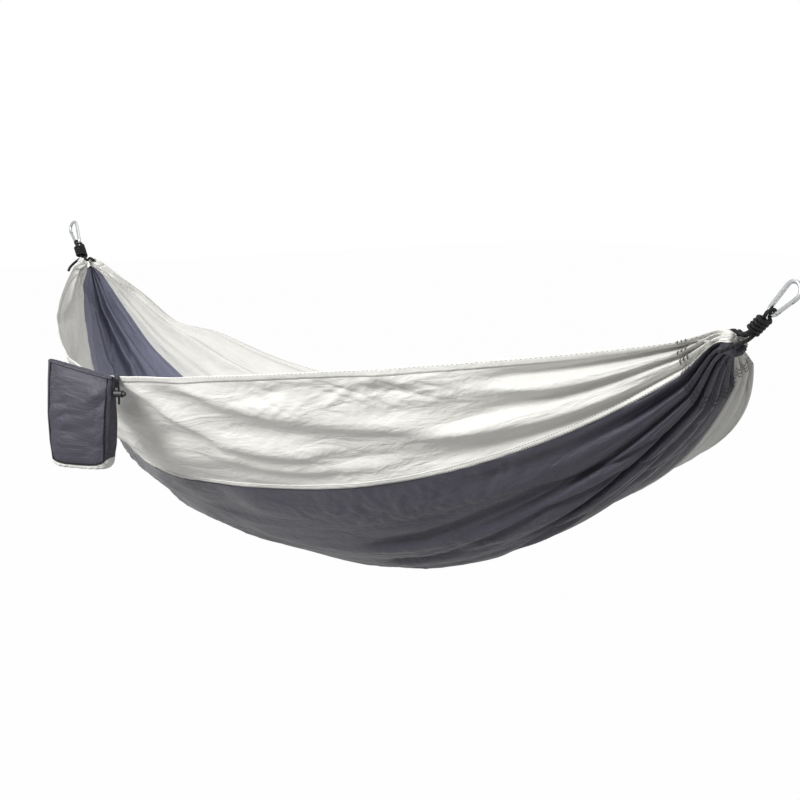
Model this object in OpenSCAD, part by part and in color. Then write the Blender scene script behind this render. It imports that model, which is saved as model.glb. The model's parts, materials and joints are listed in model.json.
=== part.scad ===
// Camping hammock: three sewn cloth panels gathered on a rope at each end,
// two spring snap hooks, and a stuff sack sewn to the middle of the near edge.
// Origin at the left hang point, +X to the right hang point, +Y to the far side, +Z up.

/* [Hanging] */
// Distance between the two gathered ends of the bed
bed_span = 2250; // [1900:10:2600]
// Angle of the ropes above the horizontal
hang_angle = 46; // [40:1:52]
// Sideways lean of the ropes from the upright plane
rope_lean = 12; // [0:1:16]
// Run of rope from the knot to the gathered cloth
leg_run = 28; // [24:1:40]

/* [Bed] */
// How far the near edge stands out from the hang line at mid length
near_out = 595; // [450:5:700]
// How far the far edge stands out from the hang line at mid length
far_out = 600; // [450:5:700]
// Drop of the near edge below the gathers
near_drop = 123; // [80:1:220]
// Drop of the far edge below the gathers
far_drop = 455; // [380:1:500]
// Drop of the lowest line of the bed below the gathers
bed_drop = 553; // [510:1:640]
// Width of each light side panel
side_panel_w = 302; // [220:1:360]
// Thickness of the cloth, with its seams and air
cloth_t = 1.2; // [0.8:0.1:2]
// Depth of the folds at mid length
fold_mid = 3; // [0:0.5:6]
// Depth of the folds where they gather
fold_end = 13; // [6:0.5:18]
// Folds across each panel
folds = 5; // [3:1:6]

/* [End sleeves] */
// Depth of the stitched sleeve that the rope runs in
sleeve_depth = 40; // [34:1:56]
// Radius of the bunched cloth round the end of the bed
bunch_r = 20; // [16:1:28]
// Slack between the rope and the sleeve
sleeve_clear = 1.6; // [1.2:0.1:2.4]
// Ruffle of the bunched sleeve
ruffle = 2.2; // [0:0.1:3]

/* [Rope] */
// Diameter of the suspension rope
rope_d = 7; // [5:0.5:8]
// Gap between neighbouring turns and strands
rope_gap = 0.7; // [0.5:0.1:1.5]
// Turns of the barrel knot
knot_turns = 4.25; // [2.25:1:5.25]
// Clearance of the rope eye round the hook
eye_clear = 1.4; // [1:0.1:2.5]

/* [Snap hooks] */
// Overall length of a hook
hook_len = 80; // [74:1:110]
// Overall width at the hook's basket
hook_w = 40; // [36:1:56]
// Overall width at the hook's narrow end
hook_end_w = 26; // [24:1:32]
// Rod diameter of the hook
rod_d = 8; // [7:0.5:9]
// Diameter of the hook's straight sides
spine_d = 8.4; // [7.3:0.1:9.5]
// Gate diameter
gate_d = 7.6; // [6.8:0.1:8]
// Hinge pin diameter
hinge_pin_d = 2.5; // [2:0.1:3]
// Thickness of the tongues at the hinge and the nose
tongue_t = 3; // [2.5:0.1:3.6]
// Bore in the gate for its spring
gate_bore_d = 3.6; // [3:0.1:4]
// Side clearance of the gate on its tongues
gate_clear = 0.35; // [0.3:0.05:0.5]

/* [Stuff sack] */
// Width of the sack
sack_w = 142; // [100:1:170]
// Depth of the sack at its belly
sack_d = 48; // [38:1:70]
// Depth of the sack at its flat mouth
mouth_d = 18; // [16:1:30]
// Height of the dark body of the sack
sack_h = 172; // [140:1:240]
// Height of the light base
base_h = 18; // [10:1:24]
// Fall of the mouth from its left end to its right end
mouth_fall = 30; // [0:1:40]
// Wall of the sack
sack_wall = 1.2; // [1:0.1:2]
// Turn of the sack from the near edge
sack_turn = 30; // [20:1:40]
// Place of the sack along the near edge, from the middle of the bed
sack_along = 16; // [0:1:60]
// Height of the middle of the mouth above the near edge
sack_rise = 12; // [0:1:16]
// Piping diameter
piping_d = 3; // [2:0.1:4]

/* [Drawcord] */
// Drawcord diameter
cord_d = 2.5; // [2:0.1:2.8]
// Drop of the drawcord ends below the mouth
cord_drop = 46; // [40:1:70]
// Diameter of the cord lock
lock_d = 13.5; // [12.5:0.5:16]
// Length of the cord lock's barrel
lock_len = 17; // [15:0.5:22]
// Diameter of the cord lock's plunger
plunger_d = 9; // [8.6:0.1:9.5]
// Travel of the plunger
plunger_travel = 3; // [2:0.5:3.5]

/* [Hidden] */

light_grey = "#d6d5cf";
dark_grey = "#45434c";
black = "#17171a";
steel = "#c9cccf";

// Curve of each long line of the bed: higher powers stay flat in the middle and turn late
near_y_pow = 1.46;
near_z_pow = 1.31;
far_y_pow = 2.8;
far_z_pow = [2.3, 1.9];
keel_pow = [3.1, 2.7];
keel_out = 48;
near_section_pow = 1.8;
far_section_pow = 1.07;
// Angles round the end of the bed where the near and far edges are bunched
bunch_near = 140;
bunch_far = 125;
bunch_pow = 4;

// Hook outline, in the hook's own plane: z = 0 is where the strap bears
basket_r = (hook_w - rod_d) / 2;
end_r = (hook_end_w - rod_d) / 2;
basket_z = rod_d / 2 - basket_r;
eye_z = 1.5 * rod_d - hook_len;
end_z = eye_z + end_r;
side_lean = asin((basket_r - end_r) / (basket_z - end_z));
side_top = [basket_r * cos(side_lean), basket_z - basket_r * sin(side_lean)];
side_low = [end_r * cos(side_lean), end_z - end_r * sin(side_lean)];
side_len = norm(side_top - side_low);
// Places along the gate side, counted up from where the narrow end stops
hinge_at = 6;
stub_end = 1.8;
nose_end = side_len - 3;
gate_top = nose_end - 0.6;
slot_low = hinge_at + gate_d / 2 + 0.4;
nose_slot = 7;
tongue_top = hinge_at + 3;
bore_top = gate_top - nose_slot - 6;
push_pin_len = 6;
// Run of each straight side into the bends, and half widths of the hinge and nose tongues
join = 1.2;
tongue_half = 2.2;
nose_half = 2.6;
push_pin_d = gate_bore_d - 0.4;

// Rope: eye, barrel and legs down to the gather
rope_sides = 6;
turn_rings = 12;
eye_r = rod_d / 2 + eye_clear + rope_d / 2;
strand_off = rope_d / 2 + rope_gap;
wrap_r = (rope_d + rope_gap) / cos(180 / turn_rings) + 0.2;
knot_pitch = rope_d + rope_gap;
neck = eye_r + 4;
knot_top = eye_z - neck;
knot_low = knot_top - knot_turns * knot_pitch;
reach = leg_run - knot_low;
hang_span = bed_span + 2 * reach * cos(hang_angle);
bed_mid = [hang_span / 2, -reach * sin(hang_angle) * sin(rope_lean),
    -reach * sin(hang_angle) * cos(rope_lean)];

long_steps = 34;
stitch_t = 1 - sleeve_depth / (bed_span / 2);
channel_t = 1 - 0.5 * sleeve_depth / (bed_span / 2);
fold_t = 1 - 0.06 * sleeve_depth / (bed_span / 2);
draw_t = 1 - 2 * sleeve_depth / (bed_span / 2);

function unit(v) = v / norm(v);
function pick(pair, t) = t < 0 ? pair[0] : pair[1];
function rise(t, p) = 1 - pow(abs(t), p);
// The rope draws the end together: past draw_t, every line of the cloth runs in to the gather
function drawn(t) =
    let (s = max(0, min(1, (abs(t) - draw_t) / (channel_t - draw_t))))
    sign(t) * (abs(t) + (1 - abs(t)) * s * s * (3 - 2 * s));
function near_edge(t) = [-near_out * rise(t, near_y_pow), -near_drop * rise(t, near_z_pow)];
function far_edge(t) = [far_out * rise(t, far_y_pow), -far_drop * rise(t, pick(far_z_pow, t))];
function keel(t) = [-keel_out * rise(t, 2), -bed_drop * rise(t, pick(keel_pow, t))];

// Cross-section of the bed at t (-1 left gather, 1 right gather); v runs from -1, near, to 1, far
function section(t, v) =
    let (d = drawn(t), k = keel(d), e = v < 0 ? near_edge(d) : far_edge(d), s = abs(v))
    let (z = k.y + (e.y - k.y) * pow(s, v < 0 ? near_section_pow : far_section_pow))
    let (a = v < 0 ? bunch_near * v : bunch_far * v)
    [k.x + (e.x - k.x) * s, z] + bunch_r * pow(abs(t), bunch_pow) * [sin(a), -cos(a)];
function inward(t, v) =
    let (h = 0.02, d = section(t, min(1, v + h)) - section(t, max(-1, v - h)))
    unit([-d.y, d.x]);
function fold_depth(t) = (fold_mid + fold_end * pow(abs(t), 4)) * (1 - 0.9 * pow(abs(t) / stitch_t, 12));
// A point of the cloth: lift is measured along the inward normal of the section
function bed_point(t, v, lift) =
    let (p = section(t, v) + lift * inward(t, v))
    bed_mid + [t * bed_span / 2, p.x, p.y];

// Seams lie one side panel's width in from each edge, measured along the middle section
function edge_run(side, s, n = 24) =
    let (p = [for (i = [0:n]) section(0, side * (s + (1 - s) * i / n))])
    sum([for (i = [1:n]) norm(p[i] - p[i - 1])]);
function sum(list, i = 0) = i == len(list) ? 0 : list[i] + sum(list, i + 1);
function seam(side, low = 0, high = 1, k = 14) =
    let (m = (low + high) / 2)
    k == 0 ? m : edge_run(side, m) > side_panel_w ? seam(side, m, high, k - 1) : seam(side, low, m, k - 1);
near_seam = -seam(-1);
far_seam = seam(1);

function spread(a, b) = [for (i = [0:2 * folds]) a + (b - a) * i / (2 * folds)];
near_rows = spread(-1, near_seam);
centre_rows = spread(near_seam, far_seam);
far_rows = spread(far_seam, 1);
all_rows = concat(near_rows, [for (i = [1:2 * folds]) centre_rows[i]],
    [for (i = [1:2 * folds]) far_rows[i]]);
long_rows = [for (i = [0:long_steps]) stitch_t * sin(90 * (2 * i / long_steps - 1))];
function fold_lift(t, j) = fold_depth(t) * (j % 2 == 0 ? -1 : 1);

// Two triangles of the quad a, b, c, d, split from a to c
function quad(a, b, c, d) = [[a, b, c], [a, c, d]];
function flat(lists) = [for (l = lists) for (x = l) x];

// Cloth shell between two rows of the bed
module panel(rows) {
    n = len(long_rows);
    m = len(rows);
    points = [for (s = [1, -1]) for (t = long_rows) for (j = [0:m - 1])
        bed_point(t, rows[j], fold_lift(t, j) + s * cloth_t / 2)];
    function in(i, j) = i * m + j;
    function out(i, j) = n * m + i * m + j;
    faces = concat(
        flat([for (i = [0:n - 2]) for (j = [0:m - 2])
            quad(in(i, j), in(i, j + 1), in(i + 1, j + 1), in(i + 1, j))]),
        flat([for (i = [0:n - 2]) for (j = [0:m - 2])
            quad(out(i, j), out(i + 1, j), out(i + 1, j + 1), out(i, j + 1))]),
        flat([for (i = [0:n - 2]) quad(in(i, 0), in(i + 1, 0), out(i + 1, 0), out(i, 0))]),
        flat([for (i = [0:n - 2]) quad(out(i + 1, m - 1), in(i + 1, m - 1), in(i, m - 1), out(i, m - 1))]),
        flat([for (j = [0:m - 2]) quad(in(0, j + 1), in(0, j), out(0, j), out(0, j + 1))]),
        flat([for (j = [0:m - 2]) quad(in(n - 1, j), in(n - 1, j + 1), out(n - 1, j + 1), out(n - 1, j))]));
    polyhedron(points, faces);
}

module near_side_panel() color(light_grey) panel(near_rows);
module centre_panel() color(dark_grey) panel(centre_rows);
module far_side_panel() color(light_grey) panel(far_rows);

// Sleeve: the folded end of the cloth, stitched down at stitch_t, with a channel for the rope
channel_r = rope_d / 2 + sleeve_clear;
sleeve_angles = [165, 120, 60, 0, -60, -120, -165];
function sleeve_loop(side, j) =
    let (v = all_rows[j], t = side * stitch_t, lift = fold_lift(t, j))
    let (root = bed_point(t, v, lift), mid = bed_point(side * channel_t, v, 0))
    let (tip = bed_point(side * fold_t, v, lift / 2), n = inward(side * channel_t, v))
    let (a = [side, 0, 0], b = [0, n.x, n.y])
    let (r = channel_r + 2 * cloth_t + (j % 2 == 0 ? 0 : ruffle))
    [bed_point(t, v, lift + cloth_t / 2),
        for (k = [1, 2]) mid + r * (cos(sleeve_angles[k]) * a + sin(sleeve_angles[k]) * b),
        tip,
        for (k = [4, 5]) mid + r * (cos(sleeve_angles[k]) * a + sin(sleeve_angles[k]) * b),
        bed_point(t, v, lift - cloth_t / 2)];
function channel_loop(side, j) =
    let (v = all_rows[j], mid = bed_point(side * channel_t, v, 0), n = inward(side * channel_t, v))
    [for (g = sleeve_angles) mid + channel_r * (cos(g) * [side, 0, 0] + sin(g) * [0, n.x, n.y])];

module sleeve(side) {
    n = len(all_rows);
    m = len(sleeve_angles);
    points = concat(flat([for (j = [0:n - 1]) sleeve_loop(side, j)]),
        flat([for (j = [0:n - 1]) channel_loop(side, j)]));
    function o(j, k) = j * m + k % m;
    function c(j, k) = n * m + j * m + k % m;
    function turn(f) = side > 0 ? f : [for (q = f) [q[0], q[2], q[1]]];
    faces = concat(
        flat([for (j = [0:n - 2]) for (k = [0:m - 1])
            k == m - 1 ? quad(o(j, k + 1), o(j, k), o(j + 1, k), o(j + 1, k + 1))
                : quad(o(j, k), o(j + 1, k), o(j + 1, k + 1), o(j, k + 1))]),
        flat([for (j = [0:n - 2]) for (k = [0:m - 1])
            quad(c(j, k), c(j, k + 1), c(j + 1, k + 1), c(j + 1, k))]),
        flat([for (k = [0:m - 1]) quad(o(0, k), o(0, k + 1), c(0, k + 1), c(0, k))]),
        flat([for (k = [0:m - 1]) quad(o(n - 1, k + 1), o(n - 1, k), c(n - 1, k), c(n - 1, k + 1))]));
    polyhedron(points, turn(faces));
}

module left_end_sleeve() color(light_grey) sleeve(-1);
module right_end_sleeve() color(light_grey) sleeve(1);

// A point of an end's own frame: z runs up the rope to the hang point, x lies in the hook's plane
function hung(side, p) =
    let (b = 90 - hang_angle)
    let (x = p.x * cos(b) + p.z * sin(b), z = p.z * cos(b) - p.x * sin(b))
    [side < 0 ? -x : hang_span + x, p.y * cos(rope_lean) + z * sin(rope_lean),
        z * cos(rope_lean) - p.y * sin(rope_lean)];
module hang(side) {
    translate([side < 0 ? 0 : hang_span, 0, 0])
        mirror([side < 0 ? 1 : 0, 0, 0])
            rotate([-rope_lean, 0, 0])
                rotate([0, 90 - hang_angle, 0])
                    children();
}

// Round tube along a list of points, with frames carried along the path
function tangent(path, i) = unit(path[min(i + 1, len(path) - 1)] - path[max(i - 1, 0)]);
function square_to(v, t) = unit(v - (v * t) * t);
function carried(path, start) =
    [for (i = 0, n = square_to(start, tangent(path, 0)); i < len(path);
        i = i + 1, n = i < len(path) ? square_to(n, tangent(path, i)) : n) n];
module tube(path, d, sides, start = [0.3, 0.2, 0.9]) {
    n = len(path);
    normals = carried(path, start);
    points = [for (i = [0:n - 1]) let (t = tangent(path, i), u = normals[i], w = cross(t, u))
        for (k = [0:sides - 1]) path[i] + d / 2 * (cos(360 * k / sides) * u + sin(360 * k / sides) * w)];
    function at(i, k) = i * sides + k % sides;
    faces = concat(
        flat([for (i = [0:n - 2]) for (k = [0:sides - 1])
            quad(at(i, k), at(i + 1, k), at(i + 1, k + 1), at(i, k + 1))]),
        [for (k = [1:sides - 2]) [at(0, 0), at(0, k), at(0, k + 1)]],
        [for (k = [1:sides - 2]) [at(n - 1, 0), at(n - 1, k + 1), at(n - 1, k)]]);
    polyhedron(points, faces);
}
// Smooth run through a list of points, with some steps between each two
function smooth(p, steps) = [for (i = [0:len(p) - 2]) for (s = [0:steps - 1])
    let (u = s / steps, a = p[max(i - 1, 0)], b = p[i], c = p[i + 1], d = p[min(i + 2, len(p) - 1)])
    b + u / 2 * ((c - a) + u * ((2 * a - 5 * b + 4 * c - d) + u * (3 * b - a - 3 * c + d)))];

// Barrel knot: turns round two strands, so its section is two half circles apart by the strands
function wrap_point(turn) =
    let (a = 90 - 360 * turn)
    [wrap_r * cos(a), wrap_r * sin(a) + strand_off * max(-1, min(1, 1.7 * sin(a))),
        knot_top - knot_pitch * turn];
knot_rings = floor(knot_turns * turn_rings + 0.5);
// Route of the rope: tail, turns, eye round the hook, near leg, sleeve, far leg, end inside the knot
function rope_path(side) =
    let (tail = [for (p = [[13, -46, -48], [15, -37, -34], [16, -25, -20], [14.5, -12, -8]])
        p + [0, 0, knot_low]])
    let (turns = [for (i = [knot_rings:-1:0]) wrap_point(i / turn_rings)])
    let (rising = [[-3.6, wrap_r + 3, knot_top + 2.4], [-3.4, wrap_r + 2, knot_top + 7]])
    let (eye = [for (a = [-8, 25, 58, 90, 122, 155, 188]) [0, eye_r * cos(a), eye_z + eye_r * sin(a)]])
    let (mouth = [for (v = [-1, 1]) bed_point(side * channel_t, v, 0)])
    let (lead = [for (v = [-1, 1]) unit(bed_point(side * channel_t, v, 0)
        - bed_point(side * channel_t, 0.94 * v, 0))])
    let (near_leg = [hung(side, [0, -strand_off, knot_top - 2]), hung(side, [0, -strand_off, knot_low + 8]),
        hung(side, [-0.5, -strand_off, knot_low - 1]), hung(side, [-3, -4.6, knot_low - 10]),
        hung(side, [-9, -5.5, knot_low - 20]),
        mouth[0] + 9 * lead[0] + [side * 8, 2, -2], mouth[0] + 4 * lead[0] + [side * 2, 0, 0],
        mouth[0]])
    let (far_leg = [mouth[1], mouth[1] + 4 * lead[1] + [side * 2, 0, 0],
        mouth[1] + 9 * lead[1] + [side * 8, -1, -2],
        hung(side, [-9, 6, knot_low - 20]), hung(side, [-3, 5, knot_low - 10]),
        hung(side, [-0.3, strand_off, knot_low]), hung(side, [0, strand_off, knot_low + 8]),
        hung(side, [0, strand_off, knot_top - rope_d])])
    let (rows = len(all_rows) - 1)
    concat([for (p = concat(tail, turns, rising, eye)) hung(side, p)],
        smooth(near_leg, 2),
        [for (j = [0:2:rows - 1]) bed_point(side * channel_t, all_rows[j], 0)],
        smooth(far_leg, 2),
        [hung(side, [0, strand_off, knot_top - rope_d])]);
// Least gap of a rope to itself, measured on the points of its path
function halved(p) = [for (i = [0:len(p) - 2]) each [p[i], (p[i] + p[i + 1]) / 2]];
function least_gap(path, skip) = min([for (i = [0:len(path) - 1 - skip])
    min([for (j = [i + skip:len(path) - 1]) norm(path[i] - path[j])])]) - rope_d;
echo(least_gap = [for (side = [-1, 1]) least_gap(halved(rope_path(side)), 16)]);

module left_rope() color(black) tube(rope_path(-1), rope_d, rope_sides);
module right_rope() color(black) tube(rope_path(1), rope_d, rope_sides);

// Rod along an arc of the hook's plane
module hook_arc(z, r, from, angle) {
    translate([0, 0, z])
        rotate([90, 0, 0])
            rotate([0, 0, from])
                rotate_extrude(angle = angle, $fn = 96)
                    translate([r, 0])
                        circle(d = rod_d, $fn = 48);
}
// Along the gate side: z runs up it from the narrow end, x points out of the hook
module gate_side() {
    translate([side_low.x, 0, side_low.y])
        rotate([0, side_lean, 0])
            children();
}
module hook_body() {
    difference() {
        union() {
            hook_arc(basket_z, basket_r, -side_lean, 180 + 2 * side_lean);
            hook_arc(end_z, end_r, 180 + side_lean, 180 - 2 * side_lean);
            mirror([1, 0, 0])
                gate_side()
                    translate([0, 0, -join])
                        cylinder(d = spine_d, h = side_len + 2 * join, $fn = 48);
            gate_side() {
                translate([0, 0, -join])
                    cylinder(d = spine_d, h = stub_end + join, $fn = 48);
                translate([-tongue_half, -tongue_t / 2, 0.5])
                    cube([2 * tongue_half, tongue_t, tongue_top - 0.5]);
                translate([0, 0, nose_end])
                    cylinder(d = spine_d, h = side_len + join - nose_end, $fn = 48);
                translate([-nose_half, -tongue_t / 2, nose_end - nose_slot + 1])
                    cube([2 * nose_half, tongue_t, nose_slot]);
            }
        }
        gate_side()
            translate([0, 0, hinge_at])
                rotate([90, 0, 0])
                    cylinder(d = hinge_pin_d, h = 2 * rod_d, center = true, $fn = 32);
    }
}
module hook_gate() {
    gate_side()
        difference() {
            intersection() {
                cylinder(d = gate_d, h = gate_top, $fn = 48);
                union() {
                    translate([0, 0, hinge_at])
                        rotate([90, 0, 0])
                            cylinder(d = gate_d, h = 2 * gate_d, center = true, $fn = 48);
                    translate([-gate_d, -gate_d, hinge_at])
                        cube([2 * gate_d, 2 * gate_d, gate_top]);
                }
            }
            translate([-gate_d, -tongue_t / 2 - gate_clear, -1])
                cube([2 * gate_d, tongue_t + 2 * gate_clear, slot_low + 1]);
            translate([-gate_d, -tongue_t / 2 - gate_clear, gate_top - nose_slot])
                cube([2 * gate_d, tongue_t + 2 * gate_clear, nose_slot + 1]);
            translate([0, 0, slot_low - 1])
                cylinder(d = gate_bore_d, h = bore_top - slot_low + 1, $fn = 32);
            translate([0, 0, hinge_at])
                rotate([90, 0, 0])
                    cylinder(d = hinge_pin_d + 0.1, h = 2 * gate_d, center = true, $fn = 32);
        }
}
module hinge_pin() {
    gate_side()
        translate([0, 0, hinge_at])
            rotate([90, 0, 0])
                cylinder(d = hinge_pin_d, h = gate_d - 0.8, center = true, $fn = 32);
}
push_pin_low = tongue_top + 0.15;
module push_pin() {
    gate_side()
        translate([0, 0, push_pin_low])
            cylinder(d = push_pin_d, h = push_pin_len, $fn = 32);
}
module gate_spring() {
    spring_low = push_pin_low + push_pin_len + 0.9;
    gate_side()
        translate([0, 0, spring_low])
            difference() {
                cylinder(d = push_pin_d, h = bore_top - spring_low, $fn = 32);
                translate([0, 0, -1])
                    cylinder(d = push_pin_d - 1.2, h = bore_top, $fn = 32);
            }
}

module left_hook_body() color(steel) hang(-1) hook_body();
module right_hook_body() color(steel) hang(1) hook_body();
module left_hook_gate() color(steel) hang(-1) hook_gate();
module right_hook_gate() color(steel) hang(1) hook_gate();
module left_hinge_pin() color(steel) hang(-1) hinge_pin();
module right_hinge_pin() color(steel) hang(1) hinge_pin();
module left_gate_spring() color(steel) hang(-1) gate_spring();
module right_gate_spring() color(steel) hang(1) gate_spring();
module left_push_pin() color(steel) hang(-1) push_pin();
module right_push_pin() color(steel) hang(1) push_pin();

// Depth that sewn-on pieces press into the cloth
sewn = 0.4;
// Sack, in its own frame: x along its width, y to its back, z up; it hangs from its mouth
sack_sides = 24;
tab_t = 1.6;
tab_gap = 1;
corner_cut = 5;
sack_out = (sack_w / 2) * sin(sack_turn) + (mouth_d / 2 + piping_d) * cos(sack_turn) - corner_cut
    + tab_t + 2 * tab_gap;
sack_at = bed_mid + [sack_along, near_edge(0).x - sack_out, near_edge(0).y + sack_rise];
module at_sack() {
    translate(sack_at)
        rotate([0, 0, sack_turn])
            children();
}
function mouth_z(x) = -mouth_fall * x / sack_w;
// Rounded box outline: high corners stay square, low corners stay round
function outline(w, d, square) = [for (k = [0:sack_sides - 1])
    let (a = 360 * (k + 0.5) / sack_sides, p = 2 / square)
    [w / 2 * sign(cos(a)) * pow(abs(cos(a)), p), d / 2 * sign(sin(a)) * pow(abs(sin(a)), p)]];
// Levels of the sack from mouth to base: share of its height, width and depth
belly = sack_d;
sack_levels = [[0, sack_w, mouth_d, 5], [0.2, sack_w, (mouth_d + belly) / 2, 5],
    [0.5, sack_w - 2, belly, 5], [0.8, sack_w - 7, belly, 5], [1, sack_w - 14, belly - 4, 4.5]];
function sack_ring(level, inset) =
    [for (p = outline(level[1] - 2 * inset, level[2] - 2 * inset, level[3]))
        [p.x, p.y, mouth_z(p.x) * (1 - level[0]) - sack_h * level[0]]];
module sack_body() {
    rings = concat([for (l = sack_levels) sack_ring(l, 0)],
        [for (i = [len(sack_levels) - 1:-1:0]) sack_ring(sack_levels[i], sack_wall)]);
    n = len(rings);
    function at(i, k) = (i % n) * sack_sides + k % sack_sides;
    color(dark_grey)
        at_sack()
            polyhedron(flat(rings), flat([for (i = [0:n - 1]) for (k = [0:sack_sides - 1])
                quad(at(i, k), at(i, k + 1), at(i + 1, k + 1), at(i + 1, k))]));
}
// Base: a shallow cup that closes the bottom
module sack_base() {
    top = sack_levels[len(sack_levels) - 1];
    levels = [[1, top[1], top[2], top[3]], [1 + 0.55 * base_h / sack_h, top[1] - 8, top[2] - 5, 4.2],
        [1 + base_h / sack_h, top[1] - 36, top[2] - 20, 3.6]];
    outer = [for (l = levels) sack_ring(l, 0)];
    inner = [for (i = [2:-1:0])
        [for (p = sack_ring(levels[i], sack_wall)) p + [0, 0, i == 0 ? 0 : sack_wall]]];
    m = sack_sides;
    function at(i, k) = i * m + k % m;
    color(light_grey)
        at_sack()
            polyhedron(flat(concat(outer, inner)), concat(
                flat([for (i = [0, 1, 3, 4]) for (k = [0:m - 1])
                    quad(at(i, k), at(i, k + 1), at(i + 1, k + 1), at(i + 1, k))]),
                flat([for (k = [0:m - 1]) quad(at(5, k), at(5, k + 1), at(0, k + 1), at(0, k))]),
                [for (k = [1:m - 2]) [at(2, 0), at(2, k), at(2, k + 1)]],
                [for (k = [1:m - 2]) [at(3, 0), at(3, k + 1), at(3, k)]]));
}

// Drawcord channel round the mouth, open at the right end where the cord comes out
hem_r = cord_d / 2 + 0.6;
hem_wall = 1;
hem_sides = 8;
hem_z = hem_r + hem_wall - sewn;
hem_gap = 12;
function mouth_path(from, to, step) = [for (a = [from:step:to])
    let (p = 0.55, x = (sack_w / 2 - 2) * sign(cos(a)) * pow(abs(cos(a)), p))
    let (y = (mouth_d / 2 - 1) * sign(sin(a)) * pow(abs(sin(a)), p))
    [x, y, mouth_z(x) + hem_z]];
module sack_mouth_hem() {
    path = mouth_path(hem_gap, 360 - hem_gap, (360 - 2 * hem_gap) / 24);
    n = len(path);
    m = hem_sides;
    normals = carried(path, [0, 0, 1]);
    function ring(i, r) = let (t = tangent(path, i), u = normals[i], w = cross(t, u))
        [for (k = [0:m - 1]) path[i] + r * (cos(360 * k / m) * u + sin(360 * k / m) * w)];
    points = concat(flat([for (i = [0:n - 1]) ring(i, hem_r + hem_wall)]),
        flat([for (i = [0:n - 1]) ring(i, hem_r)]));
    function o(i, k) = i * m + k % m;
    function c(i, k) = n * m + i * m + k % m;
    color(dark_grey)
        at_sack()
            polyhedron(points, concat(
                flat([for (i = [0:n - 2]) for (k = [0:m - 1])
                    quad(o(i, k), o(i + 1, k), o(i + 1, k + 1), o(i, k + 1))]),
                flat([for (i = [0:n - 2]) for (k = [0:m - 1])
                    quad(c(i, k), c(i, k + 1), c(i + 1, k + 1), c(i + 1, k))]),
                flat([for (k = [0:m - 1]) quad(o(0, k), o(0, k + 1), c(0, k + 1), c(0, k))]),
                flat([for (k = [0:m - 1])
                    quad(o(n - 1, k + 1), o(n - 1, k), c(n - 1, k), c(n - 1, k + 1))])));
}

// Piping along the front panel: down its right side, across the bottom and up its left side
module sack_piping() {
    off = piping_d / 2 - sewn;
    front = [for (l = sack_levels) [l[1] / 2 * 0.93, -l[2] / 2 - off, -sack_h * l[0]]];
    low = len(front) - 1;
    right = [for (i = [0:low]) front[i] + [0, 0, mouth_z(front[i].x) * (1 - sack_levels[i][0])]];
    left = [for (i = [low:-1:0]) [-front[i].x, front[i].y, front[i].z
        + mouth_z(-front[i].x) * (1 - sack_levels[i][0])]];
    path = concat(smooth(right, 3), [right[low] + [0, 0, 2]], smooth(left, 3), [left[low]]);
    color(black)
        at_sack()
            tube([for (p = path) p], piping_d, 8, [0, 1, 0]);
}

// Tab that is sewn to the near hem and hangs behind the sack's right shoulder
tab_w = 18;
tab_h = 26;
tab_sink = 1.3;
module sack_tab() {
    at = sack_along + (sack_w / 2 - 6) * cos(sack_turn) - tab_w;
    hem = bed_point(2 * (at + tab_w / 2) / bed_span, -1, fold_lift(0, 0));
    color(dark_grey)
        translate([bed_mid.x + at, hem.y - cloth_t / 2 - tab_t + tab_sink, hem.z - tab_h + 4])
            cube([tab_w, tab_t, tab_h]);
}

// Cord lock: a barrel across the two hanging strands, with a sprung plunger
lock_x = sack_w / 2 + 3 + lock_len / 2;
lock_z = mouth_z(sack_w / 2) - 26;
strand_y = (cord_d + 0.4) / 2;
slot_w = 2 * (strand_y + cord_d / 2 + 0.6);
plunger_slot = cord_d + plunger_travel + 1;
lock_wall = (lock_d - plunger_d) / 2 - 0.15;
plunger_out = 5;
plunger_len = lock_len - lock_wall - plunger_travel - 3 + plunger_out;
module at_lock() {
    at_sack()
        translate([lock_x, 0, lock_z])
            rotate([0, 90, 0])
                children();
}
module strand_slot(len, across) {
    rotate([0, 90, 0])
        linear_extrude(height = len, center = true)
            square([across, slot_w], center = true);
}
module lock_barrel() {
    color(black)
        at_lock()
            difference() {
                translate([0, 0, -lock_len / 2])
                    cylinder(d = lock_d, h = lock_len, $fn = 48);
                translate([0, 0, -lock_len / 2 + lock_wall])
                    cylinder(d = plunger_d + 0.3, h = lock_len, $fn = 48);
                strand_slot(2 * lock_d, cord_d + 1.2);
            }
}
module lock_plunger() {
    color(black)
        at_lock()
            difference() {
                translate([0, 0, lock_len / 2 + plunger_out - plunger_len])
                    cylinder(d = plunger_d, h = plunger_len, $fn = 48);
                translate([0, 0, plunger_travel / 2])
                    strand_slot(2 * lock_d, plunger_slot);
            }
}
module lock_spring() {
    low = -lock_len / 2 + lock_wall;
    high = lock_len / 2 + plunger_out - plunger_len - plunger_travel - 0.3;
    color(steel)
        at_lock()
            translate([0, 0, low])
                difference() {
                    cylinder(d = plunger_d - 1.6, h = high - low, $fn = 32);
                    translate([0, 0, -1])
                        cylinder(d = plunger_d - 3.6, h = high - low + 2, $fn = 32);
                }
}
module sack_drawcord() {
    loop = mouth_path(hem_gap, 360 - hem_gap, (360 - 2 * hem_gap) / 24);
    last = len(loop) - 1;
    low = lock_z - cord_drop + 26;
    out = smooth([loop[last], [sack_w / 2 + 3, -strand_y - 1, loop[last].z - 1],
        [lock_x - 1.5, -strand_y, lock_z + 17], [lock_x, -strand_y, lock_z + 11], [lock_x, -strand_y, lock_z],
        [lock_x, -strand_y, low]], 3);
    back = [for (i = [len(out) - 1:-1:1]) [out[i].x, -out[i].y, out[i].z]];
    path = concat([[lock_x, strand_y, low]], back, loop, [for (i = [1:len(out) - 1]) out[i]],
        [[lock_x, -strand_y, low]]);
    color(black)
        at_sack()
            tube(path, cord_d, 8, [0, 1, 0]);
}

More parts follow.
